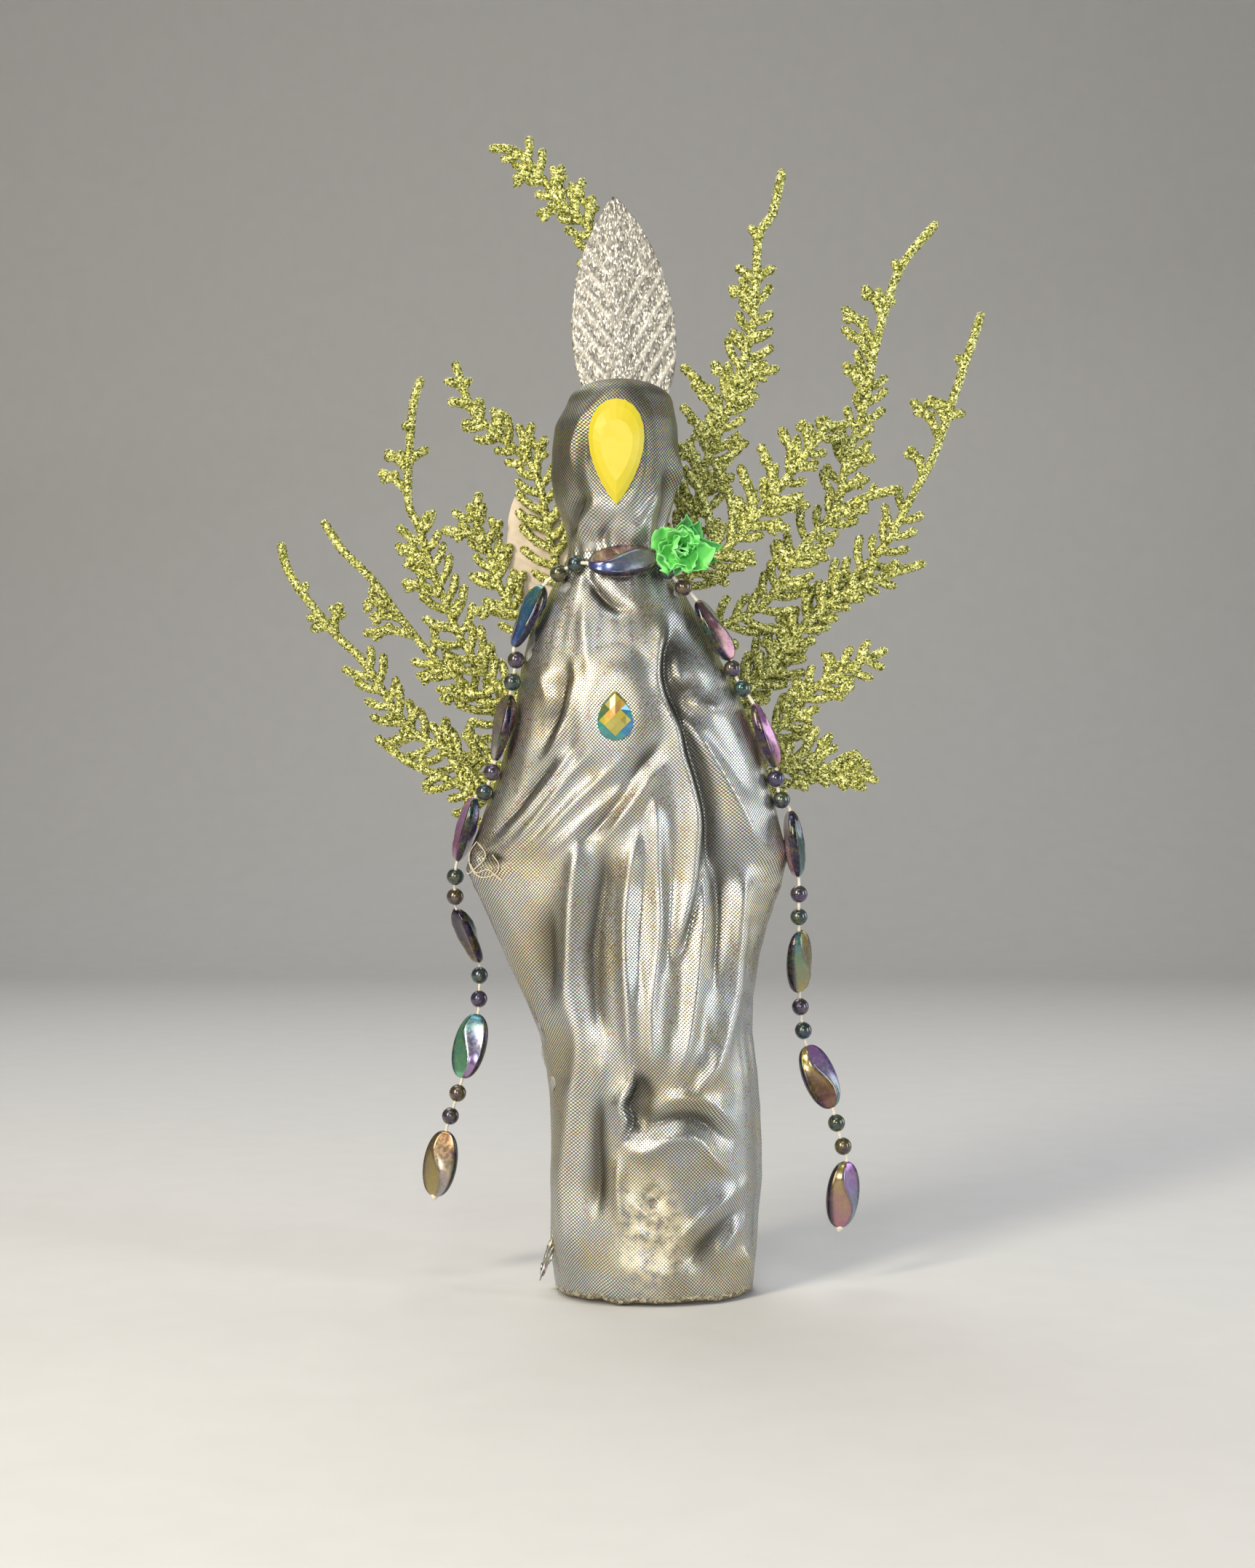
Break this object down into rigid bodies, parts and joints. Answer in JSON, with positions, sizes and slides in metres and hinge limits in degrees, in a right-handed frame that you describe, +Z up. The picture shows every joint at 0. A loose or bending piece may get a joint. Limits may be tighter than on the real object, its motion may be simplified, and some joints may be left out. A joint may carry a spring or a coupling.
{
  "type": "found-object art doll",
  "caption": "Standing art doll of metallic cloth wrapped over a stick cross, with gem face, leaf crown, glittered cedar wings, paper rose and a bead garland with swinging ends.",
  "frame": {"origin": "middle of the underside of the base disc, on the table", "axes": "+Z up along the doll, +X to the right as seen from the front, the doll faces -Y"},
  "size_m": [0.2118, 0.051, 0.3364],
  "materials": {
    "cloth": "metallic dotted lame",
    "card": "matt card",
    "wood": "raw",
    "batting": "fluffy",
    "twine": "twisted",
    "silver_leaf": "glittered",
    "pale_leaf": "matt pressed leaf",
    "cedar": "glittered",
    "yellow_gem": "faceted gloss",
    "rainbow_gem": "faceted, rainbow coat",
    "rose": "crumpled paper",
    "rose_leaf": "paper",
    "bead": "rainbow metallic gloss"
  },
  "bodies": {
    "doll": {"base_disc": "card", "body_tube": "card", "center_post": "wood", "cross_twig": "wood", "arm_lashing": "twine", "skirt_padding": "batting", "chest_padding": "batting", "head_core": "batting", "body_wrap": "cloth", "head_wrap": "cloth", "leaf_crown": "silver_leaf", "back_leaf": "pale_leaf", "face_gem": "yellow_gem", "chest_gem": "rainbow_gem", "sprig_left_top": "cedar", "sprig_left_inner": "cedar", "sprig_left_upper": "cedar", "sprig_left_middle": "cedar", "sprig_left_lower": "cedar", "sprig_left_elbow": "cedar", "sprig_right_top": "cedar", "sprig_right_inner": "cedar", "sprig_right_upper": "cedar", "sprig_right_middle": "cedar", "sprig_right_lower": "cedar", "sprig_right_shoulder": "cedar", "sprig_right_elbow": "cedar", "sprig_crown": "cedar", "garland_neck": "bead", "garland_left_1": "bead", "garland_left_2": "bead", "garland_left_3": "bead", "garland_right_1": "bead", "garland_right_2": "bead", "garland_right_3": "bead", "rose_bloom": "rose", "rose_leaves": "rose_leaf"},
    "bead_left_1": {"bead_left_1": "bead"},
    "bead_left_2": {"bead_left_2": "bead"},
    "bead_left_3": {"bead_left_3": "bead"},
    "bead_left_4": {"bead_left_4": "bead"},
    "bead_left_5": {"bead_left_5": "bead"},
    "bead_left_6": {"bead_left_6": "bead"},
    "bead_left_7": {"bead_left_7": "bead"},
    "bead_left_8": {"bead_left_8": "bead"},
    "bead_left_9": {"bead_left_9": "bead"},
    "bead_right_1": {"bead_right_1": "bead"},
    "bead_right_2": {"bead_right_2": "bead"},
    "bead_right_3": {"bead_right_3": "bead"},
    "bead_right_4": {"bead_right_4": "bead"},
    "bead_right_5": {"bead_right_5": "bead"},
    "bead_right_6": {"bead_right_6": "bead"},
    "bead_right_7": {"bead_right_7": "bead"},
    "bead_right_8": {"bead_right_8": "bead"},
    "bead_right_9": {"bead_right_9": "bead"}
  },
  "joints": [
    {"name": "left_sway_1", "type": "hinge", "parent": "doll", "child": "bead_left_1", "pos_m": [-0.05749, 0.00142, 0.12225], "axis": [1, 0, 0], "range_deg": [-40, 40]},
    {"name": "left_swing_2", "type": "hinge", "parent": "bead_left_1", "child": "bead_left_2", "pos_m": [-0.05813, 0.00492, 0.11622], "axis": [0, 1, 0], "range_deg": [-8, 30]},
    {"name": "left_sway_3", "type": "hinge", "parent": "bead_left_2", "child": "bead_left_3", "pos_m": [-0.05813, 0.00863, 0.11028], "axis": [1, 0, 0], "range_deg": [-40, 40]},
    {"name": "left_swing_4", "type": "hinge", "parent": "bead_left_3", "child": "bead_left_4", "pos_m": [-0.05176, 0.01938, 0.09278], "axis": [0, 1, 0], "range_deg": [-8, 30]},
    {"name": "left_sway_5", "type": "hinge", "parent": "bead_left_4", "child": "bead_left_5", "pos_m": [-0.05176, 0.01865, 0.08582], "axis": [1, 0, 0], "range_deg": [-40, 40]},
    {"name": "left_swing_6", "type": "hinge", "parent": "bead_left_5", "child": "bead_left_6", "pos_m": [-0.052, 0.01719, 0.07898], "axis": [0, 1, 0], "range_deg": [-8, 30]},
    {"name": "left_sway_7", "type": "hinge", "parent": "bead_left_6", "child": "bead_left_7", "pos_m": [-0.05669, 0.01199, 0.05865], "axis": [1, 0, 0], "range_deg": [-40, 40]},
    {"name": "left_swing_8", "type": "hinge", "parent": "bead_left_7", "child": "bead_left_8", "pos_m": [-0.05871, 0.01078, 0.05206], "axis": [0, 1, 0], "range_deg": [-8, 30]},
    {"name": "left_sway_9", "type": "hinge", "parent": "bead_left_8", "child": "bead_left_9", "pos_m": [-0.06086, 0.01029, 0.04542], "axis": [1, 0, 0], "range_deg": [-40, 40]},
    {"name": "right_sway_1", "type": "hinge", "parent": "doll", "child": "bead_right_1", "pos_m": [0.04159, -0.00052, 0.1178], "axis": [1, 0, 0], "range_deg": [-40, 40]},
    {"name": "right_swing_2", "type": "hinge", "parent": "bead_right_1", "child": "bead_right_2", "pos_m": [0.04159, 0.00021, 0.11084], "axis": [0, 1, 0], "range_deg": [-30, 8]},
    {"name": "right_sway_3", "type": "hinge", "parent": "bead_right_2", "child": "bead_right_3", "pos_m": [0.04181, 0.00306, 0.10445], "axis": [1, 0, 0], "range_deg": [-40, 40]},
    {"name": "right_swing_4", "type": "hinge", "parent": "bead_right_3", "child": "bead_right_4", "pos_m": [0.04252, 0.01041, 0.08426], "axis": [0, 1, 0], "range_deg": [-30, 8]},
    {"name": "right_sway_5", "type": "hinge", "parent": "bead_right_4", "child": "bead_right_5", "pos_m": [0.04301, 0.01041, 0.07727], "axis": [1, 0, 0], "range_deg": [-40, 40]},
    {"name": "right_swing_6", "type": "hinge", "parent": "bead_right_5", "child": "bead_right_6", "pos_m": [0.04422, 0.00992, 0.0704], "axis": [0, 1, 0], "range_deg": [-30, 8]},
    {"name": "right_sway_7", "type": "hinge", "parent": "bead_right_6", "child": "bead_right_7", "pos_m": [0.05219, 0.00693, 0.05066], "axis": [1, 0, 0], "range_deg": [-40, 40]},
    {"name": "right_swing_8", "type": "hinge", "parent": "bead_right_7", "child": "bead_right_8", "pos_m": [0.05388, 0.0062, 0.0439], "axis": [0, 1, 0], "range_deg": [-30, 8]},
    {"name": "right_sway_9", "type": "hinge", "parent": "bead_right_8", "child": "bead_right_9", "pos_m": [0.05592, 0.00596, 0.03721], "axis": [1, 0, 0], "range_deg": [-40, 40]}
  ]
}
